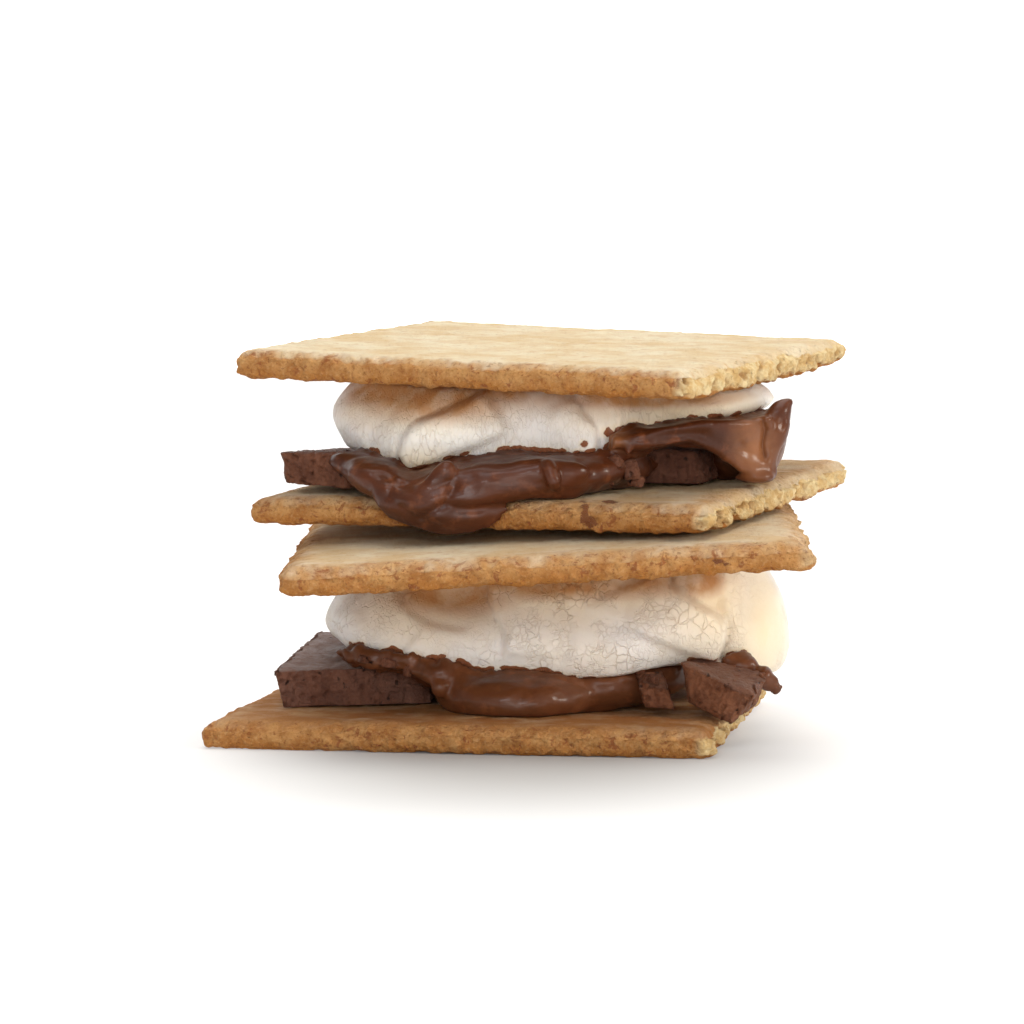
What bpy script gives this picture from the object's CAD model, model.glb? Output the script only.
import math

import bpy
import numpy as np
from mathutils import Matrix, Vector, noise
from mathutils.bvhtree import BVHTree


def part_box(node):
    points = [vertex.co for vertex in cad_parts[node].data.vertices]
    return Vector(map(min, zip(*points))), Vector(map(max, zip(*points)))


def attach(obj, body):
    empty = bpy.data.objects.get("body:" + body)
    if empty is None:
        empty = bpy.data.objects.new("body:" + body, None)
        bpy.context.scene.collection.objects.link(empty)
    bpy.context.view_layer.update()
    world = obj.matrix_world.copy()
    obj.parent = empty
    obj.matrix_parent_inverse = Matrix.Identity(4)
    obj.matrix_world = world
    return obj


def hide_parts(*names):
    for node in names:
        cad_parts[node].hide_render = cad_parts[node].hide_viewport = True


# Two s'mores, one on the other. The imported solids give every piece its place, and this script gives
# them their surfaces. Places on the stack are in mm from a point near the middle of the bottom cracker:
# x to the right, y to the back and z up, as seen from the front.

mm = 0.001
mergeGap = 0.001  # in mm
# the first seed of each kind of piece; two seeds give patterns that lie seedStep apart
seeds = {"crackers": 0.0, "marshmallows": 40.0, "melted": 60.0, "blocks": 80.0, "bits": 120.0}
seedStep = 13.7
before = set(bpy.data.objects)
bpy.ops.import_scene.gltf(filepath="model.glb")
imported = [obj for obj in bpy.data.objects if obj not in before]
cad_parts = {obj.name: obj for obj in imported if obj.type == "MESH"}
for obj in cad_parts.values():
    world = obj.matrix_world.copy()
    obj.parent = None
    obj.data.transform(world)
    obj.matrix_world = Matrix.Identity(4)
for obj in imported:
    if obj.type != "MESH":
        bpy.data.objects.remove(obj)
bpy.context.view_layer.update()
stackPoint = Vector((-3.83, -2.90, 0.0)) * mm  # from the centre of the stack's base


def place(x, y, z):
    return stackPoint + Vector((x, y, z)) * mm


# Helpers

def selectOnly(piece):
    bpy.ops.object.select_all(action="DESELECT")
    piece.select_set(True)
    bpy.context.view_layer.objects.active = piece


def copyNode(node, name):
    piece = bpy.data.objects.new(name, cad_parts[node].data.copy())
    bpy.context.scene.collection.objects.link(piece)
    piece.data.name = name
    selectOnly(piece)
    bpy.ops.object.mode_set(mode="EDIT")
    bpy.ops.mesh.select_all(action="SELECT")
    bpy.ops.mesh.remove_doubles(threshold=mergeGap * mm)
    bpy.ops.object.mode_set(mode="OBJECT")
    return piece


def applied(piece, kind, **settings):
    modifier = piece.modifiers.new(kind.lower(), kind)
    for name, value in settings.items():
        setattr(modifier, name, value)
    selectOnly(piece)
    bpy.ops.object.modifier_apply(modifier=modifier.name)


def joinAll(pieces):
    # into the first of them
    selectOnly(pieces[0])
    for piece in pieces[1:]:
        piece.select_set(True)
    bpy.ops.object.join()


def readAll(items, name):
    values = np.empty(len(items) * 3)
    items.foreach_get(name, values)
    return values.reshape(-1, 3)


def inStack(points):
    # from m to mm from the stack's point
    return (points - np.array(stackPoint)) / mm


def pointsOf(piece):
    return inStack(readAll(piece.data.vertices, "co"))


def setPoints(piece, points):
    piece.data.vertices.foreach_set("co", (points * mm + np.array(stackPoint)).ravel())
    piece.data.update()


def normalsOf(piece):
    return readAll(piece.data.vertex_normals, "vector")


def splitFaces(piece, chosen, cuts):
    # subdivides the chosen faces only
    selectOnly(piece)
    bpy.ops.object.mode_set(mode="EDIT")
    bpy.ops.mesh.select_mode(type="FACE")
    bpy.ops.mesh.select_all(action="DESELECT")
    bpy.ops.object.mode_set(mode="OBJECT")
    piece.data.polygons.foreach_set("select", chosen)
    bpy.ops.object.mode_set(mode="EDIT")
    bpy.ops.mesh.subdivide(number_cuts=cuts)
    bpy.ops.object.mode_set(mode="OBJECT")


def noiseAt(points, size, seed, stretch=(1, 1, 1)):
    scaled = points / (np.array(stretch) * size) + seed * seedStep
    return np.array([noise.noise(point) for point in scaled.tolist()])


def rough(points, sizeAndHeight, seed, stretch=(1, 1, 1)):
    # a noise from the size of its lumps and their height
    size, height = sizeAndHeight
    return noiseAt(points, size, seed, stretch) * height


def cellsAt(points, size, seed, stretch=(1, 1, 1)):
    # the distance to the nearest of some scattered points, in units of the size
    scaled = points / (np.array(stretch) * size) + seed * seedStep
    return np.array([noise.voronoi(point)[0][0] for point in scaled.tolist()])


def ease(value, low, high):
    # 0 up to low, 1 from high on, smooth between
    share = np.clip((value - low) / (high - low), 0, 1)
    return share * share * (3 - 2 * share)


def setMask(piece, name, values):
    mask = piece.data.attributes.new(name, "FLOAT", "POINT")
    mask.data.foreach_set("value", np.clip(values, 0, 1).astype(np.float32))


def patches(points, spots, front=0.0, fade=8.0):
    # 1 in the middle of each spot (x, z, half x, half z), 0.5 at its edge, and none behind the front
    inside = np.zeros(len(points))
    for x, z, halfX, halfZ in spots:
        far = ((points[:, 0] - x) / halfX) ** 2 + ((points[:, 2] - z) / halfZ) ** 2
        inside = np.maximum(inside, 1 - 0.5 * np.sqrt(far))
    return np.clip(inside, 0, 1) * (1 - ease(points[:, 1], front - fade, front))


def finishPiece(piece, material, nodes):
    piece.data.materials.clear()
    piece.data.materials.append(material)
    piece.data.shade_smooth()
    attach(piece, "root")
    if nodes:
        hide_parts(*nodes)
    print("made", piece.name, len(piece.data.polygons), "faces")


# Materials

class Graph:
    # a material's nodes, added in the order in which they are used

    def __init__(self, name):
        self.material = bpy.data.materials.new(name)
        self.material.use_nodes = True
        self.tree = self.material.node_tree
        self.shader = self.tree.nodes["Principled BSDF"]
        self.where = self.add("ShaderNodeTexCoord").outputs["Object"]

    def add(self, kind, **settings):
        node = self.tree.nodes.new(kind)
        for name, value in settings.items():
            setattr(node, name, value)
        return node

    def feed(self, socket, value):
        if isinstance(value, bpy.types.NodeSocket):
            self.tree.links.new(value, socket)
        else:
            socket.default_value = value

    def mask(self, name):
        return self.add("ShaderNodeAttribute", attribute_name=name).outputs["Fac"]

    def stretched(self, scale):
        mapping = self.add("ShaderNodeMapping")
        self.feed(mapping.inputs["Vector"], self.where)
        mapping.inputs["Scale"].default_value = scale
        return mapping.outputs["Vector"]

    def noise(self, scale, detail=3.0, roughness=0.55, distortion=0.0, vector=None):
        texture = self.add("ShaderNodeTexNoise")
        self.feed(texture.inputs["Vector"], vector or self.where)
        texture.inputs["Scale"].default_value = scale
        texture.inputs["Detail"].default_value = detail
        texture.inputs["Roughness"].default_value = roughness
        texture.inputs["Distortion"].default_value = distortion
        return texture.outputs["Fac"]

    def warped(self, scale, amount, vector=None):
        # the coordinates, pushed about by a noise
        texture = self.add("ShaderNodeTexNoise")
        self.feed(texture.inputs["Vector"], vector or self.where)
        texture.inputs["Scale"].default_value = scale
        texture.inputs["Detail"].default_value = 2.0
        push = self.add("ShaderNodeVectorMath", operation="SUBTRACT")
        self.feed(push.inputs[0], texture.outputs["Color"])
        push.inputs[1].default_value = (0.5, 0.5, 0.5)
        scaled = self.add("ShaderNodeVectorMath", operation="SCALE")
        self.feed(scaled.inputs[0], push.outputs[0])
        scaled.inputs["Scale"].default_value = amount
        moved = self.add("ShaderNodeVectorMath", operation="ADD")
        self.feed(moved.inputs[0], vector or self.where)
        self.feed(moved.inputs[1], scaled.outputs[0])
        return moved.outputs[0]

    def cells(self, scale, feature="F1", vector=None):
        texture = self.add("ShaderNodeTexVoronoi", feature=feature)
        self.feed(texture.inputs["Vector"], vector or self.where)
        texture.inputs["Scale"].default_value = scale
        return texture

    def between(self, value, low, high, start=0.0, end=1.0):
        # from start to end as the value goes from low to high
        ramp = self.add("ShaderNodeMapRange", interpolation_type="SMOOTHSTEP")
        self.feed(ramp.inputs["Value"], value)
        ramp.inputs["From Min"].default_value = low
        ramp.inputs["From Max"].default_value = high
        ramp.inputs["To Min"].default_value = start
        ramp.inputs["To Max"].default_value = end
        return ramp.outputs["Result"]

    def sum(self, first, second, operation="ADD"):
        node = self.add("ShaderNodeMath", operation=operation)
        self.feed(node.inputs[0], first)
        self.feed(node.inputs[1], second)
        return node.outputs[0]

    def product(self, first, second):
        return self.sum(first, second, "MULTIPLY")

    def mixed(self, amount, first, second):
        node = self.add("ShaderNodeMix", data_type="RGBA")
        self.feed(node.inputs["Factor"], amount)
        colours = [socket for socket in node.inputs if socket.type == "RGBA"]
        for socket, colour in zip(colours, (first, second)):
            self.feed(socket, (*colour, 1) if isinstance(colour, tuple) else colour)
        return [socket for socket in node.outputs if socket.type == "RGBA"][0]

    def specks(self, scale, share, size, warp=0.0006):
        # 1 in a share of scattered spots, 0 elsewhere
        cells = self.cells(scale, vector=self.warped(scale * 1.3, warp))
        chosen = self.between(cells.outputs["Color"], 1 - share - 0.02, 1 - share + 0.02)
        return self.product(chosen, self.between(cells.outputs["Distance"], size, size * 0.45))

    def bump(self, height, distance, strength=1.0, over=None):
        node = self.add("ShaderNodeBump")
        node.inputs["Strength"].default_value = strength
        node.inputs["Distance"].default_value = distance
        self.feed(node.inputs["Height"], height)
        if over:
            self.feed(node.inputs["Normal"], over)
        return node.outputs["Normal"]

    def done(self, colour, normal=None, roughness=None, **constants):
        self.feed(self.shader.inputs["Base Color"], colour)
        if normal:
            self.feed(self.shader.inputs["Normal"], normal)
        if roughness is not None:
            self.feed(self.shader.inputs["Roughness"], roughness)
        for name, value in constants.items():
            self.shader.inputs[name.replace("_", " ")].default_value = value
        return self.material


crackerLook = {
    "top": (0.83, 0.62, 0.35), "topPale": (0.92, 0.79, 0.56), "topTan": (0.70, 0.43, 0.18),
    "crust": (0.46, 0.188, 0.052), "crustPale": (0.63, 0.32, 0.11), "toasted": (0.49, 0.19, 0.04),
    "grain": (0.72, 0.44, 0.19),
    "crumb": (0.76, 0.49, 0.20), "crumbPale": (0.91, 0.72, 0.40), "crumbDeep": (0.46, 0.19, 0.05),
    "bran": (0.29, 0.08, 0.028), "pore": (0.30, 0.12, 0.04), "smear": (0.19, 0.055, 0.02),
}


def crackerMaterial():
    look, g = crackerLook, Graph("bakedCracker")
    crust, crumb = g.mask("crust"), g.mask("crumb")
    top = g.mixed(g.between(g.noise(120, 5, 0.6), 0.36, 0.66), look["top"], look["topPale"])
    top = g.mixed(g.product(g.between(g.noise(640, 4, 0.65), 0.52, 0.72), 0.55), top, look["topTan"])
    side = g.mixed(g.between(g.noise(330, 6, 0.7), 0.36, 0.62), look["crust"], look["crustPale"])
    side = g.mixed(g.product(g.mask("toast"), g.between(g.noise(210, 3), 0.3, 0.6)), side, look["toasted"])
    inner = g.mixed(g.between(g.noise(520, 5, 0.65), 0.36, 0.64), look["crumb"], look["crumbPale"])
    inner = g.mixed(g.mask("deep"), inner, look["crumbDeep"])
    browned = g.product(g.mask("browned"), g.between(g.noise(170, 4), 0.3, 0.6, 0.6, 1.0))
    top = g.mixed(browned, top, look["crust"])
    colour = g.mixed(crust, top, side)
    colour = g.mixed(crumb, colour, inner)
    baked = g.between(crust, 0.0, 1.0, 0.08, 0.95)
    flecks = g.product(g.between(g.noise(700, 3, 0.6, 0.6), 0.57, 0.66), baked)
    colour = g.mixed(g.product(flecks, 0.75), colour, look["bran"])
    grain = g.noise(2300, 3, 0.6)
    colour = g.mixed(g.product(g.between(grain, 0.54, 0.68), g.product(baked, 0.5)), colour, look["bran"])
    colour = g.mixed(g.product(g.between(grain, 0.46, 0.34), g.product(baked, 0.3)), colour, look["grain"])
    pores = g.specks(1500, 0.2, 0.40)
    colour = g.mixed(g.product(pores, 0.25), colour, look["pore"])
    ragged = g.between(g.noise(700, 3, 0.6), 0.3, 0.7, -0.3, 0.3)
    stain = g.between(g.sum(g.mask("smear"), ragged), 0.36, 0.62)
    colour = g.mixed(g.product(stain, 0.85), colour, look["smear"])
    normal = g.bump(g.noise(430, 7, 0.72), 0.0018, 0.7)
    normal = g.bump(g.noise(1500, 4, 0.7), 0.0006, 0.8, normal)
    normal = g.bump(g.product(grain, -1.0), 0.0004, 0.8, normal)
    normal = g.bump(g.product(pores, -1.0), 0.0004, 0.7, normal)
    return g.done(colour, normal, g.between(stain, 0.0, 1.0, 0.88, 0.4), Specular_IOR_Level=0.22)


marshmallowLook = {
    "skin": (0.85, 0.81, 0.765), "warm": (0.85, 0.75, 0.60), "toast": (0.50, 0.235, 0.085),
    "crack": (0.45, 0.27, 0.13), "creamy": (0.85, 0.69, 0.44), "thinChocolate": (0.26, 0.09, 0.038),
}


def marshmallowMaterial(name, stretch, warmth, cracking):
    look, g = marshmallowLook, Graph(name)
    skin = g.stretched(stretch)
    plain = g.mask("plain")
    wide = g.cells(720, "DISTANCE_TO_EDGE", g.warped(700, 0.0014, skin))
    small = g.cells(1300, "DISTANCE_TO_EDGE", g.warped(1300, 0.0008, skin))
    where = g.between(g.noise(150, 3, 0.6), 0.42, 0.62)
    wideCrack = g.product(g.between(wide.outputs["Distance"], 0.07, 0.01), where)
    elsewhere = g.between(g.noise(230, 2), 0.42, 0.6, 0.0, 0.6)
    smallCrack = g.product(g.between(small.outputs["Distance"], 0.10, 0.02), elsewhere)
    cracks = g.product(g.sum(wideCrack, smallCrack, "MAXIMUM"), g.between(plain, 0.0, 1.0, 1.0, 0.0))
    tone = g.product(g.between(g.noise(90, 3), 0.34, 0.68), warmth)
    colour = g.mixed(tone, look["skin"], look["warm"])
    colour = g.mixed(g.product(g.mask("creamy"), 0.8), colour, look["creamy"])
    toast = g.product(g.mask("toast"), g.between(g.noise(260, 4, 0.6), 0.25, 0.6, 0.55, 1.0))
    colour = g.mixed(toast, colour, look["toast"])
    colour = g.mixed(g.product(cracks, 0.7 * cracking), colour, look["crack"])
    ragged = g.between(g.noise(480, 3, 0.55), 0.3, 0.7, -0.2, 0.2)
    colour = g.mixed(g.between(g.mask("stain"), 0.05, 0.6, 0.0, 0.45), colour, look["creamy"])
    stain = g.between(g.sum(g.mask("stain"), ragged), 0.44, 0.58)
    colour = g.mixed(stain, colour, look["thinChocolate"])
    normal = g.bump(g.noise(300, 5, 0.6, vector=skin), 0.0011, 0.36)
    normal = g.bump(g.product(cracks, -1.0), 0.0004, 2 * cracking, normal)
    roughness = g.between(stain, 0.0, 1.0, 0.60, 0.35)
    g.shader.inputs["Subsurface Radius"].default_value = (1.0, 0.85, 0.65)
    return g.done(
        colour, normal, roughness,
        Subsurface_Weight=0.28, Subsurface_Scale=0.0025, Specular_IOR_Level=0.3,
    )


meltedLook = {
    "brown": (0.090, 0.0235, 0.0076), "dark": (0.058, 0.015, 0.005), "pale": (0.14, 0.041, 0.0145),
    "thin": (0.27, 0.105, 0.04),
}


def meltedMaterial():
    look, g = meltedLook, Graph("meltedChocolate")
    flow = g.stretched((0.6, 0.6, 1.4))
    colour = g.mixed(g.between(g.noise(170, 4, vector=flow), 0.35, 0.65), look["dark"], look["brown"])
    colour = g.mixed(g.between(g.noise(420, 5, 0.6), 0.52, 0.72), colour, look["pale"])
    thin = g.product(g.mask("thin"), g.between(g.noise(300, 3), 0.3, 0.6, 0.6, 1.0))
    colour = g.mixed(thin, colour, look["thin"])
    normal = g.bump(g.noise(210, 4, 0.5, 0.4, flow), 0.0011, 0.36)
    roughness = g.between(g.noise(330, 3), 0.3, 0.75, 0.34, 0.52)
    return g.done(colour, normal, roughness, Specular_IOR_Level=0.22, Coat_Weight=0.16, Coat_Roughness=0.14)


solidLook = {
    "dark": (0.135, 0.048, 0.028), "darkBrown": (0.19, 0.074, 0.044),
    "milk": (0.17, 0.058, 0.024), "milkBrown": (0.26, 0.096, 0.042),
    "bloom": (0.32, 0.205, 0.165), "hole": (0.022, 0.009, 0.005),
}


def solidMaterial():
    look, g = solidLook, Graph("brokenChocolate")
    patchy = g.between(g.noise(420, 5, 0.62), 0.36, 0.64)
    dark = g.mixed(patchy, look["dark"], look["darkBrown"])
    colour = g.mixed(g.mask("milk"), dark, g.mixed(patchy, look["milk"], look["milkBrown"]))
    bloom = g.product(g.mask("bloom"), g.between(g.noise(260, 5, 0.6), 0.32, 0.62, 0.3, 1.0))
    colour = g.mixed(bloom, colour, look["bloom"])
    holes = g.specks(900, 0.26, 0.36, 0.0009)
    colour = g.mixed(g.product(holes, 0.75), colour, look["hole"])
    normal = g.bump(g.noise(650, 7, 0.72), 0.0014, 0.8)
    normal = g.bump(g.noise(2100, 4, 0.7), 0.0005, 0.7, normal)
    normal = g.bump(g.product(holes, -1.0), 0.0008, 0.9, normal)
    return g.done(colour, normal, g.between(g.noise(500, 3), 0.3, 0.7, 0.40, 0.62), Specular_IOR_Level=0.3)


crackerSkin = crackerMaterial()
marshmallowSkins = {
    "marshmallow_lower": marshmallowMaterial("marshmallowSkinLower", (1.0, 1.0, 0.85), 0.5, 0.34),
    "marshmallow_upper": marshmallowMaterial("marshmallowSkinUpper", (1.5, 1.0, 0.55), 0.35, 0.26),
}
meltedSkin = meltedMaterial()
solidSkin = solidMaterial()
print("materials made")


# Crackers: the solids' slabs, remeshed finely and given baked and crumbling edges

crackerSettings = {
    "voxel": 0.6, "sideCuts": 2, "splitWithin": 2.4, "smoothing": 3, "rim": 3.2, "roundReach": 3.4,
    # noises, each (size of its lumps, height)
    "topWave": (7.5, 0.15), "topGrain": (2.6, 0.10), "grain": (1.1, 0.20), "underBeads": (1.9, 0.35),
    "sideLumps": (3.4, 0.22), "sideGrain": (0.55, 0.12), "sideDents": (2.2, 0.40),
    # the snapped side is torn from the one to the other depth behind its edge
    "tornFrom": 3.0, "tornTo": 1.2, "holeSize": 2.1, "smallHoles": 0.45, "holeDepth": 1.4,
    "crumbGrain": (0.7, 0.26), "smearFade": 0.4, "aboveFloor": 0.02,
}
# turn: roll, pitch and yaw in degrees; baked: how far in from the rim the crust's colour reaches; a nick: a
# place on the cracker, (across, deep, up), its radius and its depth; a smear: a spot, as in patches
crackers = {
    "cracker_bottom": {
        "piece": "crackerBottom", "size": (67.6, 66.0), "turn": (0.0, 0.0, -9.7),
        "snapped": 1.0, "browned": 1.0, "baked": 5.0, "roundOver": 1.0,
        "nicks": (((33.8, -24.0, 0.5), 3.0, 1.0),),
    },
    "cracker_second": {
        "piece": "crackerSecond", "size": (68.8, 65.8), "turn": (-3.15, 1.9, -0.9),
        "snapped": 0.35, "browned": 0.16, "baked": 6.0, "roundOver": 1.25,
        "nicks": (((34.4, -24.0, 1.9), 3.0, 1.6), ((34.4, -9.0, 1.9), 2.4, 1.0)),
        "smearFront": -40.4, "smears": (
            (8.7, 27.6, 1.1, 0.5), (9.9, 27.9, 1.5, 0.4), (26.5, 25.6, 0.9, 0.3), (27.2, 25.3, 0.6, 0.25),
        ),
    },
    "cracker_third": {
        "piece": "crackerThird", "size": (65.7, 66.2), "turn": (-1.1, 2.2, -20.8),
        "snapped": 1.0, "browned": 0.22, "baked": 7.0, "roundOver": 1.1,
        "nicks": (((32.8, -20.0, 0.0), 2.6, 1.0),),
        "smearFront": -26.0, "smears": (
            (9.4, 31.0, 0.55, 1.5), (9.9, 29.8, 1.1, 0.8), (12.6, 32.4, 0.9, 0.35),
        ),
    },
    "cracker_top": {
        "piece": "crackerTop", "size": (65.9, 65.6), "turn": (0.9, 3.1, -22.5),
        "snapped": 1.0, "browned": 0.0, "baked": 3.6, "roundOver": 0.6,
        "nicks": (
            ((-33.0, -32.8, 0.3), 1.6, 0.7), ((33.0, -28.0, 1.9), 2.4, 0.8),
            ((-14.0, -32.8, 1.9), 1.5, 0.5),
        ),
    },
}


def crackerTurn(spec):
    roll, pitch, yaw = (math.radians(angle) for angle in spec["turn"])
    return Matrix.Rotation(roll, 3, "Y") @ Matrix.Rotation(pitch, 3, "X") @ Matrix.Rotation(yaw, 3, "Z")


def crackerPlaces(node, points, spec):
    # across, deep and up in the cracker's own frame, from its middle
    low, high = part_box(node)
    middle = inStack(np.array((Vector(low) + Vector(high)) / 2))
    return (points - middle) @ np.array(crackerTurn(spec))


def edgeDistance(own, spec):
    width, depth = spec["size"]
    return np.minimum(width / 2 - np.abs(own[:, 0]), depth / 2 - np.abs(own[:, 1]))


def makeCracker(node, spec, seed):
    s = crackerSettings
    piece = copyNode(node, spec["piece"])
    applied(piece, "REMESH", mode="VOXEL", voxel_size=s["voxel"] * mm)
    centres = inStack(readAll(piece.data.polygons, "center"))
    outer = edgeDistance(crackerPlaces(node, centres, spec), spec) < s["splitWithin"]
    splitFaces(piece, outer, s["sideCuts"])
    applied(piece, "SMOOTH", factor=0.5, iterations=s["smoothing"])
    points, normals = pointsOf(piece), normalsOf(piece)
    own = crackerPlaces(node, points, spec)
    ownNormals = normals @ np.array(crackerTurn(spec))
    fromEdge = edgeDistance(own, spec)
    tornEdge = spec["size"][0] / 2
    nearEdge = 1 - ease(fromEdge, 0.6, s["rim"])
    side = 1 - ease(np.abs(ownNormals[:, 2]), 0.35, 0.9)
    snapped = ease(own[:, 0], tornEdge - s["tornFrom"], tornEdge - s["tornTo"]) * spec["snapped"]
    under = ease(-own[:, 2], 0.9, 1.7) * nearEdge
    inward = np.clip(fromEdge / s["roundReach"], 0, 1)
    rounding = spec["roundOver"] * (1 - inward) ** 2 * ease(own[:, 2], 0.2, 1.7)
    points -= rounding[:, None] * np.array(crackerTurn(spec) @ Vector((0, 0, 1)))

    move = rough(own, s["topWave"], seed) + rough(own, s["topGrain"], seed + 1)
    move += rough(own, s["sideLumps"], seed + 2, (1.5, 1.5, 0.8)) * nearEdge
    move += rough(own, s["grain"], seed + 3) * (0.3 + nearEdge)
    move += rough(own, s["sideGrain"], seed + 4) * nearEdge
    move -= np.abs(rough(own, s["sideDents"], seed + 11)) * nearEdge
    move += np.maximum(0, rough(own, s["underBeads"], seed + 5)) * under
    for spot, radius, cut in spec["nicks"]:
        gap = np.linalg.norm(own - np.array(spot), axis=1)
        move -= cut * np.exp(-((gap / radius) ** 2)) * (1 + 0.5 * noiseAt(own, 0.9, seed + 6))

    torn = snapped > 0.02
    nearest = cellsAt(own[torn], s["holeSize"], seed + 7, (1.2, 1.5, 0.8))
    smaller = cellsAt(own[torn], s["smallHoles"] * s["holeSize"], seed + 8, (1.2, 1.4, 0.8))
    some = ease(noiseAt(own[torn], 3.0, seed + 9), -0.1, 0.2)
    holes = ease(-nearest, -0.62, -0.12) * some
    grain = np.abs(rough(own[torn], s["crumbGrain"], seed + 10)) + 0.2 * ease(-smaller, -0.6, -0.15)
    move[torn] -= snapped[torn] * (s["holeDepth"] * holes + grain - 0.2) * (0.3 + 0.7 * side[torn])
    deep = np.zeros(len(points))
    deep[torn] = holes * snapped[torn]
    points += normals * move[:, None]
    points[:, 2] = np.maximum(points[:, 2], s["aboveFloor"])
    setPoints(piece, points)

    below = ease(-ownNormals[:, 2], 0.1, 0.6)
    uneven = 0.3 * noiseAt(own, 1.0, seed + 12) + 0.25 * noiseAt(own, 3.0, seed + 13)
    rim = 1 - ease(fromEdge, 0.0, spec["baked"])
    crust = ease(0.5 * side + 0.85 * rim + uneven, 0.0, 1.15) * (1 - 0.9 * snapped)
    smears = patches(points, spec.get("smears", ()), spec.get("smearFront", 0.0), s["smearFade"])
    setMask(piece, "crust", np.maximum(crust, below))
    setMask(piece, "deep", deep)
    setMask(piece, "toast", ease(-own[:, 2], -0.4, 1.6) * nearEdge)
    setMask(piece, "browned", np.full(len(points), spec["browned"]))
    setMask(piece, "crumb", snapped * ease(side, 0.1, 0.6))
    setMask(piece, "smear", smears)
    finishPiece(piece, crackerSkin, [node])


for index, (node, spec) in enumerate(crackers.items()):
    makeCracker(node, spec, seeds["crackers"] + 10 * index)


# Strokes on the front of a soft piece, drawn upright as the photograph shows them: each is a line of (x, z)
# points along which the surface is pressed in, or folds over what is beside it

def strokeGap(points, line):
    # how far each point is from the line, positive to the left of its direction
    flat = points[:, [0, 2]]
    best = np.full(len(flat), 1e9)
    signed = np.full(len(flat), 1e9)
    for start, end in zip(np.array(line[:-1], float), np.array(line[1:], float)):
        run = end - start
        share = np.clip(((flat - start) @ run) / (run @ run), 0, 1)
        gap = flat - (start + share[:, None] * run)
        far = np.hypot(gap[:, 0], gap[:, 1])
        cross = run[0] * (flat[:, 1] - start[1]) - run[1] * (flat[:, 0] - start[0])
        closer = far < best
        best = np.where(closer, far, best)
        signed = np.where(closer, np.sign(cross) * far, signed)
    return signed


def strokeEnds(points, line, length):
    # fades a stroke beyond and near its two ends
    flat = points[:, [0, 2]]
    shares = []
    for end, inner in ((line[0], line[1]), (line[-1], line[-2])):
        inward = np.array(inner, float) - np.array(end, float)
        inward /= np.linalg.norm(inward)
        shares.append(ease((flat - np.array(end, float)) @ inward, -length, length))
    return shares[0] * shares[1]


def sculptFront(points, spec):
    # forward is towards -y; only the front half of the piece is worked on
    front = 1 - ease(points[:, 1], spec["back"] - 5, spec["back"])
    move = np.zeros(len(points))
    for line, lip, rise, reach, crease in spec.get("folds", ()):
        gap = strokeGap(points, line)
        lifted = (1 - np.exp(-((gap / lip) ** 2))) * np.exp(-np.maximum(gap, 0) / reach)
        raised = np.where(gap > 0, lifted, 0)
        inside = np.exp(-((gap / (0.6 * lip)) ** 2))
        outside = np.exp(np.minimum(gap, 0) / (3.2 * lip))
        pressed = np.where(gap > 0, inside, outside)
        move += (crease * pressed - rise * raised) * strokeEnds(points, line, 1.2 * lip)
    for line, width, depth in spec.get("presses", ()):
        gap = strokeGap(points, line)
        move += depth * np.exp(-((gap / width) ** 2)) * strokeEnds(points, line, 1.5 * width)
    for x, z, halfX, halfZ, depth in spec.get("hollows", ()):
        move += depth * np.exp(-(((points[:, 0] - x) / halfX) ** 2) - ((points[:, 2] - z) / halfZ) ** 2)
    points[:, 1] += move * front


# Marshmallows. A fold is (line, lip, how far it stands out, how far that reaches, how deep its crease is),
# a press (line, width, depth), a hollow (x, z, half x, half z, depth); the rest are spots, as in patches

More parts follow.
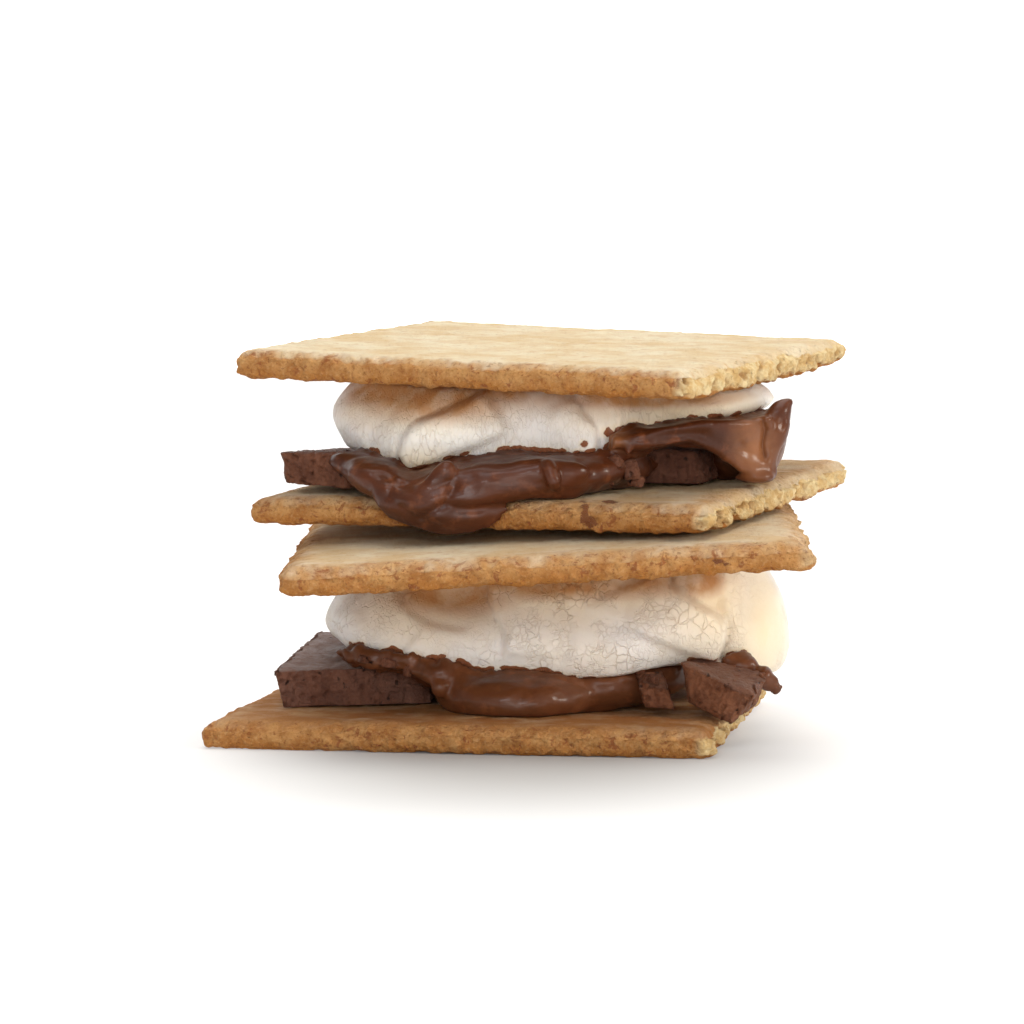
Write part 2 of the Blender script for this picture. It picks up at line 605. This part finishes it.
marshmallowSettings = {
    "voxel": 0.42, "smoothing": 10,
    # noises, each (size of its lumps, height)
    "swell": (6.5, 0.45), "wrinkles": (1.7, 0.10), "grain": (0.8, 0.035), "stainBreaks": (1.7, 1.6),
    # mm from the chocolate and from the cracker above, and the x from which the toasting fades
    "stainReach": 1.1, "toastReach": 4.0, "toastEnd": (24, 30), "toastSpots": 1.8,
}
marshmallows = {
    "marshmallow_lower": {
        "piece": "marshmallowLower", "back": 2.0,
        "folds": (
            (((27.4, 9.8), (28.2, 11.6), (28.7, 13.4), (28.8, 15.5), (27.0, 17.2), (23.9, 18.9),
              (21.4, 21.0), (20.4, 23.0)), 0.6, 1.9, 9.0, 2.2),
            (((-3.4, 21.0), (-3.4, 18.6), (-2.4, 16.4), (-1.3, 14.2), (-1.4, 11.8)), 0.6, 1.0, 6.0, 1.1),
            (((-6.0, 15.0), (-10.4, 15.6), (-13.4, 17.0), (-15.4, 19.6)), 0.8, 0.5, 4.0, 0.55),
            (((-12.6, 14.4), (-14.4, 12.8), (-15.2, 10.6)), 1.0, 0.5, 4.0, 0.35),
        ),
        "presses": (
            (((6.2, 21.4), (6.6, 17.6), (7.5, 15.6), (7.5, 13.2), (6.2, 10.4)), 0.7, 0.42),
            (((-1.6, 17.4), (-0.6, 15.0), (-2.4, 12.6), (-2.0, 9.6)), 1.1, 0.35),
            (((-20.2, 17.2), (-19.0, 15.2), (-19.8, 12.4)), 1.0, 0.45),
            (((14.2, 21.4), (15.2, 18.2), (14.6, 15.2)), 0.6, 0.2),
        ),
        "hollows": ((-8.4, 19.0, 4.6, 2.6, 1.9), (-20.0, 19.4, 2.2, 2.4, 0.7), (27.6, 19.6, 3.2, 3.0, 1.4)),
        "plain": (
            (-8.5, 16.6, 6.0, 4.6), (-13.0, 12.6, 5.0, 1.7), (34.5, 14.0, 4.6, 8.0), (27.5, 19.0, 3.6, 3.6),
        ),
        "toasted": ((-8.6, 19.8, 5.6, 2.0), (25.4, 21.0, 2.0, 1.4), (6.0, 21.2, 13.0, 1.5)),
        "creamy": (
            (27.4, 18.0, 5.6, 5.6), (34.0, 14.0, 5.0, 9.0), (-9.0, 18.6, 8.0, 3.4), (6.0, 20.6, 18.0, 3.2),
        ),
    },
    "marshmallow_upper": {
        "piece": "marshmallowUpper", "back": 2.0,
        "folds": (
            (((-4.0, 46.6), (-5.9, 45.4), (-8.9, 44.1), (-13.1, 42.4), (-15.0, 40.0), (-15.5, 37.7),
              (-14.4, 35.1)), 0.6, 1.8, 11.0, 1.9),
            (((11.9, 36.0), (11.7, 38.2), (11.4, 41.6), (10.6, 42.7), (9.3, 44.5), (7.4, 46.0)),
             0.6, 0.7, 6.0, 0.8),
        ),
        "presses": (
            (((13.0, 43.8), (12.7, 41.0), (12.9, 37.8)), 0.28, 0.3),
            (((13.9, 44.2), (13.7, 41.4), (13.8, 38.0)), 0.28, 0.26),
            (((14.9, 44.4), (14.8, 42.0), (14.7, 39.0)), 0.3, 0.2),
            (((8.0, 44.2), (9.4, 43.6), (10.2, 42.4)), 0.4, 0.5),
            (((-18.6, 45.0), (-18.0, 42.0), (-19.2, 38.4)), 0.9, 0.4),
            (((-21.6, 44.4), (-21.0, 41.0)), 0.7, 0.25),
            (((22.0, 45.6), (26.0, 44.6), (30.0, 44.9)), 0.8, 0.3),
        ),
        "hollows": ((-15.0, 45.6, 7.5, 1.8, 0.9),),
        "plain": ((13.6, 41.0, 1.8, 4.5), (32.5, 43.5, 3.0, 3.0)),
        "toasted": ((-10.5, 45.6, 6.5, 2.2), (-20.5, 46.0, 5.0, 1.3), (18.5, 45.2, 7.5, 0.9)),
        "creamy": ((-14.0, 44.6, 10.0, 2.4), (22.0, 43.4, 10.0, 2.2), (-12.0, 36.4, 4.0, 1.6)),
        "smears": (
            (9.4, 39.4, 0.5, 0.5), (12.8, 40.9, 0.8, 0.6), (14.4, 41.2, 1.2, 0.6), (16.4, 41.6, 1.4, 0.7),
            (13.4, 39.9, 0.35, 0.8), (15.2, 40.0, 0.4, 0.9), (16.6, 39.6, 0.6, 1.2), (7.6, 37.6, 1.4, 0.6),
        ),
    },
}


def treeOf(things):
    corners, faces = [], []
    for thing in things:
        mesh = thing.data
        faces += [[index + len(corners) for index in face.vertices] for face in mesh.polygons]
        corners += [vert.co.copy() for vert in mesh.vertices]
    return BVHTree.FromPolygons(corners, faces)


def gapTo(tree, piece, reach):
    # mm to the nearest face of the tree, up to the reach
    gaps = np.full(len(piece.data.vertices), float(reach))
    for index, vert in enumerate(piece.data.vertices):
        found = tree.find_nearest(vert.co, reach * mm)
        if found[0]:
            gaps[index] = found[3] / mm
    return gaps


marshmallowTree = treeOf([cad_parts[node] for node in marshmallows])
crackerTree = treeOf([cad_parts[node] for node in crackers])


def makeMarshmallow(node, spec, seed, chocolateTree):
    s = marshmallowSettings
    piece = copyNode(node, spec["piece"])
    applied(piece, "REMESH", mode="VOXEL", voxel_size=s["voxel"] * mm)
    applied(piece, "SMOOTH", factor=0.6, iterations=s["smoothing"])
    crackerGaps = gapTo(crackerTree, piece, s["toastReach"])
    points = pointsOf(piece)
    sculptFront(points, spec)
    setPoints(piece, points)
    normals = normalsOf(piece)
    sides = 1 - np.abs(normals[:, 2])
    plain = patches(points, spec["plain"])
    move = rough(points, s["swell"], seed) * sides
    move += rough(points, s["wrinkles"], seed + 1, (0.8, 0.8, 1.5)) * sides * (1 - 0.7 * plain)
    move += rough(points, s["grain"], seed + 2) * (1 - plain)
    setPoints(piece, points + normals * move[:, None])
    stain = (1 - ease(gapTo(chocolateTree, piece, 2.0), 0.1, s["stainReach"])) ** 2
    stain *= 0.75 + rough(points, s["stainBreaks"], seed + 5)
    smears = patches(points, spec.get("smears", ())) * (normals[:, 1] < 0)
    above = (1 - ease(crackerGaps, 0.3, s["toastReach"])) * ease(normals[:, 2], -0.5, 0.1)
    above *= 0.9 + 0.7 * noiseAt(points, 5.0, seed + 3) + 0.4 * noiseAt(points, 1.4, seed + 4)
    above *= 1 - ease(points[:, 0], *s["toastEnd"])
    setMask(piece, "stain", np.maximum(stain, smears))
    setMask(piece, "toast", np.maximum(above, s["toastSpots"] * patches(points, spec["toasted"])))
    setMask(piece, "creamy", patches(points, spec["creamy"]))
    setMask(piece, "plain", plain)
    finishPiece(piece, marshmallowSkins[node], [node])


def along(line, share):
    # the point at a share of the number of a line's steps
    steps = np.linspace(0, 1, len(line))
    return np.array([np.interp(share, steps, column) for column in np.array(line).T]).T


# Melted chocolate: the solid, with what has run into it: lumps, (x, y, z), half size and tilt, and strands,
# each a path of (x, y, z, radius)

meltedSettings = {
    "voxel": 0.32, "smoothing": 9, "beadsPerStep": 3,
    # everywhere, and more where it meets the marshmallow
    "swollen": 0.16, "squeezed": 0.34,
    # noises, each (size of its lumps, height)
    "swell": (4.5, 0.35), "ripple": (1.6, 0.10), "lumps": (1.3, 0.6), "ragged": (0.9, 0.5),
}


def addLumps(piece, lumps, strands):
    made = [piece]
    for path in strands:
        beads = meltedSettings["beadsPerStep"] * (len(path) - 1) + 1
        for *middle, radius in along(path, np.linspace(0, 1, beads)):
            at = place(*middle)
            bpy.ops.mesh.primitive_ico_sphere_add(subdivisions=2, radius=radius * mm, location=at)
            made.append(bpy.context.active_object)
    for middle, half, tilt in lumps:
        bpy.ops.mesh.primitive_ico_sphere_add(subdivisions=3, radius=mm, location=place(*middle))
        lump = bpy.context.active_object
        lump.scale = half
        lump.rotation_euler = (0, math.radians(-tilt), 0)
        made.append(lump)
    joinAll(made)


melted = {
    "chocolate_melted_lower": {
        "piece": "chocolateMeltedLower", "back": -4.0, "paler": 0.25, "thinned": (),
        "lumps": (
            ((-9.4, -21.8, 7.2), (1.1, 1.2, 1.2), 0),
            ((-8.9, -20.9, 9.0), (1.2, 1.3, 1.8), 8),
            ((30.4, -17.4, 9.8), (2.3, 1.8, 1.4), 0),
            ((33.4, -18.4, 8.3), (1.2, 1.6, 1.5), 0),
            ((34.4, -18.4, 7.4), (0.6, 0.8, 1.2), -40),
            ((35.2, -18.6, 6.6), (0.4, 0.5, 0.9), -40),
        ),
        "strands": (
            ((-23.0, -14.8, 11.2, 0.75), (-20.5, -16.2, 11.0, 1.0), (-18.0, -17.3, 10.6, 0.8),
             (-15.2, -18.4, 10.3, 1.15), (-12.4, -19.2, 9.6, 1.2), (-10.0, -20.6, 8.8, 1.4)),
        ),
        "presses": (
            (((3.4, 11.0), (2.6, 8.2), (0.6, 5.8)), 0.7, 0.3),
            (((12.6, 10.6), (10.6, 8.4), (5.6, 6.6)), 0.8, 0.3),
            (((-6.4, 11.2), (-7.2, 9.0), (-7.8, 6.6)), 0.6, 0.35),
        ),
    },
    "chocolate_melted_upper": {
        "piece": "chocolateMeltedUpper", "back": -2.0, "paler": 0.0,
        "thinned": ((32.2, 38.6, 2.4, 3.2), (13.4, 40.4, 1.2, 1.2)),
        "lumps": (
            ((0.4, -25.3, 35.4), (10.0, 2.2, 2.1), 4),
            ((29.6, -2.0, 36.6), (3.6, 3.6, 3.0), 0),
            ((32.4, -13.6, 34.6), (2.8, 1.8, 0.8), 0),
        ),
        "strands": (
            ((4.6, -27.0, 37.2, 0.6), (5.0, -27.8, 36.2, 0.95), (5.4, -28.0, 35.0, 1.05),
             (5.6, -27.6, 34.2, 0.8)),
            ((-8.4, -26.0, 36.2, 1.2), (-10.4, -26.0, 34.6, 1.0), (-12.4, -25.6, 33.0, 0.9),
             (-14.0, -25.0, 31.6, 0.7)),
            ((37.2, -11.0, 44.6, 0.45), (36.5, -11.1, 44.1, 0.85), (35.9, -11.3, 43.3, 1.4),
             (35.5, -11.5, 42.3, 1.7), (35.4, -11.8, 41.1, 1.7), (35.1, -12.0, 40.0, 1.45),
             (34.8, -12.2, 38.8, 1.05), (34.5, -12.3, 37.2, 0.9), (34.3, -12.4, 35.2, 1.1)),
            ((13.6, -21.2, 40.0, 0.5), (13.4, -21.4, 38.9, 0.35)),
            ((15.4, -21.2, 40.0, 0.5), (15.3, -21.4, 38.4, 0.4)),
        ),
        "folds": (
            (((-9.6, 31.9), (-5.5, 31.3), (3.1, 32.6), (10.4, 34.2)), 0.9, 0.5, 3.0, 0.45),
            (((-15.6, 35.6), (-16.2, 32.6), (-12.7, 30.2), (-9.5, 28.9)), 0.9, 0.55, 3.5, 0.4),
        ),
        "presses": (
            (((-18.0, 35.8), (-15.0, 34.2), (-12.6, 33.8)), 0.6, 0.4),
            (((-16.4, 32.4), (-13.6, 34.6), (-11.4, 36.4)), 0.8, 0.6),
            (((-12.8, 29.6), (-9.0, 31.8), (-7.2, 34.4)), 0.6, 0.5),
            (((33.0, 42.9), (33.7, 41.0), (33.3, 39.0), (33.7, 37.0)), 0.42, 0.8),
            (((36.2, 42.6), (36.0, 41.0)), 0.5, 0.4),
            (((19.6, 40.2), (24.0, 40.6), (29.6, 40.0), (31.6, 37.6)), 0.8, 0.25),
            (((-7.6, 31.0), (0.0, 31.4), (6.4, 32.6)), 0.9, 0.45),
            (((-3.4, 29.6), (3.0, 30.2)), 0.8, 0.3),
        ),
    },
}


# The sheet that hangs before the upper chunk: its upper and its lower edge, (x, y, z) from left to right,
# and how high, (x, z), the solid may stand behind it, from its foot to its top and in front of its back
curtain = {
    "upper": (
        (13.2, -21.2, 40.2), (16.9, -20.8, 40.8), (20.4, -20.0, 41.6), (24.7, -18.8, 42.2),
        (28.9, -17.2, 42.3), (31.9, -15.4, 42.3), (34.4, -13.4, 42.8),
    ),
    "lower": (
        (13.2, -21.2, 39.2), (17.1, -20.8, 39.0), (20.5, -20.0, 39.2), (23.5, -18.8, 39.8),
        (26.5, -17.2, 38.4), (30.1, -15.4, 35.5), (34.4, -13.4, 34.2),
    ),
    "behind": (
        (15.0, 40.6), (20.4, 41.7), (24.7, 42.1), (28.9, 42.2), (31.9, 42.3), (34.4, 42.8), (37.5, 43.8),
    ),
    "left": (15.0, 18.0), "right": (35.5, 37.5), "foot": (37.5, 38.5), "back": 6.0,
    "drawnBack": 0.9, "clear": 0.3, "thick": 1.5, "hollow": 0.7, "grid": (36, 14),
}


def hangCurtain(piece):
    s = curtain
    columns, rows = s["grid"]
    bpy.ops.mesh.primitive_grid_add(x_subdivisions=columns, y_subdivisions=rows, size=2)
    sheet = bpy.context.active_object
    across, down = ((readAll(sheet.data.vertices, "co")[:, :2] + 1) / 2).T
    upper, lower = along(s["upper"], across), along(s["lower"], across)
    points = upper * (1 - down)[:, None] + lower * down[:, None]
    points[:, 1] += s["hollow"] * np.sin(math.pi * down) ** 2
    setPoints(sheet, points)
    applied(sheet, "SOLIDIFY", thickness=s["thick"] * mm, offset=0)
    joinAll([piece, sheet])


def flattenBehindCurtain(points):
    # what the solid has before the sheet or over its upper edge is drawn back to it
    s = curtain
    upper = np.array(s["upper"])
    inside = ease(points[:, 0], *s["left"]) * (1 - ease(points[:, 0], *s["right"]))
    inside *= ease(points[:, 2], *s["foot"]) * (points[:, 1] < s["back"])
    front = np.interp(points[:, 0], upper[:, 0], upper[:, 1]) - s["clear"]
    points[:, 1] += inside * np.maximum(0, front - points[:, 1]) * s["drawnBack"]
    top = np.interp(points[:, 0], *np.array(s["behind"]).T)
    points[:, 2] -= inside * np.maximum(0, points[:, 2] - top)


def makeMelted(node, spec, seed):
    s = meltedSettings
    piece = copyNode(node, spec["piece"])
    if node == "chocolate_melted_upper":
        points = pointsOf(piece)
        flattenBehindCurtain(points)
        setPoints(piece, points)
        hangCurtain(piece)
    addLumps(piece, spec["lumps"], spec["strands"])
    applied(piece, "REMESH", mode="VOXEL", voxel_size=s["voxel"] * mm)
    applied(piece, "SMOOTH", factor=0.6, iterations=s["smoothing"])
    toMarshmallow = gapTo(marshmallowTree, piece, 2.0)
    points = pointsOf(piece)
    sculptFront(points, spec)
    setPoints(piece, points)
    normals = normalsOf(piece)
    move = s["swollen"] + s["squeezed"] * (1 - ease(toMarshmallow, 0.5, 1.5))
    overSlab = ease(-points[:, 0], 9, 12) * ease(points[:, 2], 8, 9) * (points[:, 2] < 14)
    move += rough(points, s["lumps"], seed + 3) * overSlab
    move += rough(points, s["swell"], seed) + rough(points, s["ripple"], seed + 1, (1.4, 1, 0.7))
    move += np.abs(rough(points, s["ragged"], seed + 2)) * (1 - ease(toMarshmallow, 0.7, 1.3))
    setPoints(piece, points + normals * move[:, None])
    setMask(piece, "thin", spec["paler"] + patches(points, spec["thinned"]))
    finishPiece(piece, meltedSkin, [node])
    return piece


meltedPieces = []
for index, (node, spec) in enumerate(melted.items()):
    meltedPieces.append(makeMelted(node, spec, seeds["melted"] + index))


# Broken chocolate. A block has the four corners of its underside, then those of its top, both from the
# front left one counter-clockwise

blockSettings = {
    # how wide the worn strips are, and how much is worn off
    "edge": 0.9, "nearEdge": 2.2, "corner": 1.2, "worn": 0.2,
    # noises, each (size of its lumps, height); the pits are cells
    "chips": (2.6, 1.5), "nibbles": (1.0, 0.7), "ridges": (1.7, 0.42), "lumps": (3.2, 0.3),
    "grain": (0.6, 0.14), "pits": (1.1, 0.4),
}
blocks = {
    "chocolate_slab_lower": {
        "piece": "chocolateSlabLower", "cuts": 90, "bloom": 0.95, "dusty": 0.16,
        "ridges": 1.0, "milk": 0.35,
        "corners": (
            ((-30.6, -16.4, 3.9), (-10.6, -12.6, 4.1), (-8.6, 20.0, 4.6), (-26.9, 21.0, 5.2)),
            ((-31.9, -16.1, 8.9), (-10.6, -12.8, 9.1), (-8.6, 20.0, 10.0), (-27.8, 21.0, 10.6)),
        ),
    },
    "chocolate_chunk_lower": {
        "piece": "chocolateChunkLower", "cuts": 36, "bloom": 0.35, "ridges": 0.6, "milk": 1.0,
        "corners": (
            ((22.7, -26.4, 5.8), (28.4, -31.0, 3.5), (32.6, -20.8, 4.9), (24.6, -17.6, 5.8)),
            ((21.9, -25.4, 11.1), (31.8, -28.8, 6.8), (34.2, -19.4, 9.1), (24.3, -16.6, 10.7)),
        ),
    },
    "chocolate_chip_lower": {
        "piece": "chocolateChipLower", "cuts": 26, "bloom": 0.3, "ridges": 0.5, "milk": 0.9,
        "corners": (
            ((17.5, -25.4, 5.0), (21.4, -26.0, 4.8), (21.0, -21.2, 5.2), (17.2, -20.8, 5.4)),
            ((16.6, -24.6, 8.0), (20.6, -25.2, 7.7), (20.0, -20.2, 9.3), (16.4, -19.8, 9.2)),
        ),
    },
    "chocolate_slab_upper": {
        "piece": "chocolateSlabUpper", "cuts": 76, "bloom": 0.25, "ridges": 1.0, "milk": 0.5,
        "corners": (
            ((-31.0, -9.0, 33.4), (-21.6, -13.0, 33.0), (-10.0, 13.0, 34.0), (-20.0, 18.0, 34.4)),
            ((-31.4, -9.6, 37.7), (-21.9, -13.6, 37.9), (-10.0, 13.0, 37.2), (-20.4, 18.0, 37.1)),
        ),
    },
    "chocolate_chunk_upper": {
        "piece": "chocolateChunkUpper", "cuts": 36, "bloom": 0.1, "dusty": 0.03,
        "ridges": 0.8, "milk": 0.2,
        "corners": (
            ((17.6, -10.0, 33.5), (25.2, -11.6, 33.5), (28.8, -3.0, 34.0), (20.0, -1.6, 33.8)),
            ((16.4, -9.0, 38.4), (24.8, -10.8, 37.8), (28.0, -2.6, 38.4), (19.6, -1.0, 38.8)),
        ),
    },
}


def makeBlock(name, spec, seed):
    s = blockSettings
    bpy.ops.mesh.primitive_cube_add(size=2)
    piece = bpy.context.active_object
    piece.name = piece.data.name = name
    bpy.ops.object.mode_set(mode="EDIT")
    bpy.ops.mesh.select_all(action="SELECT")
    bpy.ops.mesh.subdivide(number_cuts=spec["cuts"])
    bpy.ops.object.mode_set(mode="OBJECT")
    cube = readAll(piece.data.vertices, "co")
    across, deep, tall = ((cube + 1) / 2).T[:, :, None]
    under, top = (
        (face[0] * (1 - across) + face[1] * across) * (1 - deep)
        + (face[3] * (1 - across) + face[2] * across) * deep
        for face in np.array(spec["corners"], float)
    )
    points = under * (1 - tall) + top * tall
    setPoints(piece, points)
    normals = normalsOf(piece)
    nearness = np.sort(np.abs(cube), axis=1)  # the middle one is 1 on an edge, the least on a corner
    span = np.linalg.norm(points.max(0) - points.min(0)) / 2
    onEdge = np.clip(1 - (1 - nearness[:, 1]) * span / s["edge"], 0, 1)
    nearEdge = np.clip(1 - (1 - nearness[:, 1]) * span / s["nearEdge"], 0, 1)
    onCorner = np.clip(1 - (1 - nearness[:, 0]) * span / s["corner"], 0, 1)
    side = 1 - ease(np.abs(normals[:, 2]), 0.5, 0.9)
    move = -s["worn"] * (onEdge ** 2 + onCorner ** 2)
    move -= nearEdge * np.maximum(0, rough(points, s["chips"], seed))
    move -= onEdge * np.maximum(0, rough(points, s["nibbles"], seed + 4))
    pitSize, pitDepth = s["pits"]
    pits = ease(-cellsAt(points, pitSize, seed + 5), -0.5, -0.15) * (noiseAt(points, 2.0, seed + 6) > -0.1)
    move -= pitDepth * pits * (0.2 + 0.8 * side)
    ridges = np.abs(rough(points, s["ridges"], seed + 1, (0.55, 0.8, 2.2)))
    move -= ridges * spec["ridges"] * (0.1 + side)
    move += rough(points, s["lumps"], seed + 2) + rough(points, s["grain"], seed + 3)
    setPoints(piece, points + normals * move[:, None])
    bloom = ease(normals[:, 2], 0.5, 0.9) * spec["bloom"] * (1 - 0.5 * onEdge)
    setMask(piece, "bloom", np.maximum(bloom, spec.get("dusty", 0.0)))
    setMask(piece, "milk", spec["milk"] + 0.4 * onEdge)
    return piece


def makeBlockFor(node, spec, seed):
    piece = makeBlock(spec["piece"], spec, seed)
    finishPiece(piece, solidSkin, [node])
    return piece


blockPieces = []
for index, (node, spec) in enumerate(blocks.items()):
    blockPieces.append(makeBlockFor(node, spec, seeds["blocks"] + index))

# Crumbs of chocolate stuck to the melted one, each (middle, half size, turn about z, lean)
bits = (
    ((-20.6, -16.8, 35.0), (1.1, 1.0, 0.7), 25, 12), ((-18.2, -18.4, 34.0), (0.9, 0.8, 0.6), -30, 20),
    ((10.6, -21.6, 36.2), (1.6, 1.2, 0.9), 20, 8), ((13.4, -20.4, 36.9), (1.4, 1.1, 1.0), -15, -12),
    ((12.2, -20.9, 34.9), (1.3, 1.2, 0.9), 40, 15), ((15.6, -18.6, 36.0), (1.3, 1.1, 1.4), 10, -6),
    ((16.4, -18.2, 34.3), (1.1, 0.9, 0.7), -35, 10), ((8.2, -22.8, 36.0), (0.9, 0.8, 0.7), 50, -20),
    ((-19.4, -17.9, 10.7), (1.2, 0.9, 0.6), 15, 5), ((-16.2, -18.6, 10.2), (1.4, 1.0, 0.7), -20, 10),
    ((-13.4, -19.0, 9.4), (1.1, 0.9, 0.8), 30, -8), ((18.6, -24.2, 8.6), (1.0, 0.8, 0.6), 10, 25),
)
bitSettings = {"cuts": 9, "bloom": 0.15, "ridges": 0.5, "milk": 0.4}
bitCorners = ((-1, -1), (1, -1), (1, 1), (-1, 1))
bitTop = 0.8  # how narrow a crumb's top is, beside its underside


def makeBit(index, middle, half, turn, lean):
    wide, long, tall = half
    lies = Matrix.Rotation(math.radians(turn), 3, "Z") @ Matrix.Rotation(math.radians(lean), 3, "Y")
    corners = []
    for up, narrow in ((-1, 1.0), (1, bitTop)):
        ring = [Vector((x * wide * narrow, y * long * narrow, up * tall)) for x, y in bitCorners]
        corners.append([tuple(Vector(middle) + lies @ corner) for corner in ring])
    return makeBlock("chocolateBit" + str(index), {"corners": corners, **bitSettings}, seeds["bits"] + index)


def makeBits():
    made = [makeBit(index, *bit) for index, bit in enumerate(bits)]
    joinAll(made)
    made[0].name = made[0].data.name = "chocolateBits"
    finishPiece(made[0], solidSkin, [])


makeBits()

# the marshmallows come last, stained where the chocolate touches them
chocolateTree = treeOf(meltedPieces + blockPieces)
for index, (node, spec) in enumerate(marshmallows.items()):
    makeMarshmallow(node, spec, seeds["marshmallows"] + index, chocolateTree)


# Camera, floor, backdrop and lights

cameraSettings = {
    "place": (0.0, -538.5, 64.9), "down": 3.81,
    "focalPixels": 3934, "imagePixels": 1024, "sensor": 36.0, "clip": (0.02, 20.0),
}


def makeCamera():
    s = cameraSettings
    data = bpy.data.cameras.new("camera")
    data.sensor_width = s["sensor"]
    data.lens = s["focalPixels"] / s["imagePixels"] * s["sensor"]
    data.clip_start, data.clip_end = s["clip"]
    camera = bpy.data.objects.new("camera", data)
    camera.location = place(*s["place"])
    camera.rotation_euler = (math.radians(90 - s["down"]), 0, 0)
    bpy.context.scene.collection.objects.link(camera)
    bpy.context.scene.camera = camera


# the floor glows but for an oval round the stack, which leaves a soft shadow there; sizes in m
stageSettings = {
    "floorSize": 40.0, "wallSize": 5.0, "wallDistance": 1.6,
    "floor": (0.46, 0.445, 0.425), "wallGlow": 1.05,
    "oval": (-0.003, -0.038), "ovalHalf": (0.058, 0.090), "nearGlow": 0.03, "farGlow": 0.62,
}


def makeStage():
    s = stageSettings
    bpy.ops.mesh.primitive_plane_add(size=s["floorSize"], location=(0, 0, 0))
    floor = bpy.context.active_object
    floor.name = "floor"
    paint = Graph("paleFloor")
    oval = paint.add("ShaderNodeTexGradient", gradient_type="SPHERICAL")
    mapping = paint.add("ShaderNodeMapping")
    paint.feed(mapping.inputs["Vector"], paint.where)
    (x, y), (halfX, halfY) = s["oval"], s["ovalHalf"]
    mapping.inputs["Location"].default_value = (-x / halfX, -y / halfY, 0)
    mapping.inputs["Scale"].default_value = (1 / halfX, 1 / halfY, 1)
    paint.feed(oval.inputs["Vector"], mapping.outputs["Vector"])
    glow = paint.between(oval.outputs["Fac"], 0.0, 0.85, s["farGlow"], s["nearGlow"])
    paint.feed(paint.shader.inputs["Emission Strength"], glow)
    white = {"Emission_Color": (1, 1, 1, 1)}
    floor.data.materials.append(paint.done((*s["floor"], 1), None, 0.9, Specular_IOR_Level=0.1, **white))
    bpy.ops.mesh.primitive_plane_add(
        size=s["wallSize"], location=(0, s["wallDistance"], 0), rotation=(math.pi / 2, 0, 0),
    )
    wall = bpy.context.active_object
    wall.name = "backdrop"
    paper = Graph("whiteBackdrop")
    glowing = {"Emission_Strength": s["wallGlow"], **white}
    wall.data.materials.append(paper.done((0.5, 0.5, 0.5, 1), None, 1.0, Specular_IOR_Level=0.0, **glowing))


# each: where it stands in m, its size in m, its power in W and its colour
lights = {
    "keyRight": {
        "at": (0.84, -0.30, 0.36), "size": (0.22, 0.22), "power": 3.8, "colour": (1.0, 0.94, 0.84),
    },
    "overhead": {
        "at": (0.05, 0.15, 1.1), "size": (1.0, 1.0), "power": 9.4, "colour": (1.0, 0.98, 0.95),
    },
    "skyStrip": {
        "at": (-0.18, -0.58, 0.78), "size": (0.55, 0.24), "power": 2.0, "colour": (0.84, 0.92, 1.0),
    },
    "frontWindow": {
        "at": (-0.25, -1.05, 0.42), "size": (0.36, 0.24), "power": 2.4, "colour": (0.92, 0.96, 1.0),
    },
    "lowFill": {
        "at": (0.20, -1.20, 0.12), "size": (1.0, 0.30), "power": 4.0, "colour": (1.0, 0.98, 0.95),
    },
}
lightsTarget = (0, 0, 25)  # on the stack
worldLight = {"colour": (0.98, 0.98, 1.0), "strength": 0.28}


def makeLights():
    target = place(*lightsTarget)
    for name, spec in lights.items():
        data = bpy.data.lights.new(name, "AREA")
        data.shape = "RECTANGLE"
        data.size, data.size_y = spec["size"]
        data.energy = spec["power"]
        data.color = spec["colour"]
        light = bpy.data.objects.new(name, data)
        light.location = spec["at"]
        light.rotation_euler = (target - light.location).to_track_quat("-Z", "Y").to_euler()
        bpy.context.scene.collection.objects.link(light)
    world = bpy.data.worlds.new("softRoom")
    world.use_nodes = True
    background = world.node_tree.nodes["Background"]
    background.inputs["Color"].default_value = (*worldLight["colour"], 1)
    background.inputs["Strength"].default_value = worldLight["strength"]
    bpy.context.scene.world = world


makeCamera()
makeStage()
makeLights()
bpy.context.scene.view_settings.view_transform = "Standard"
bpy.context.scene.view_settings.look = "None"
print("camera, stage and lights made")
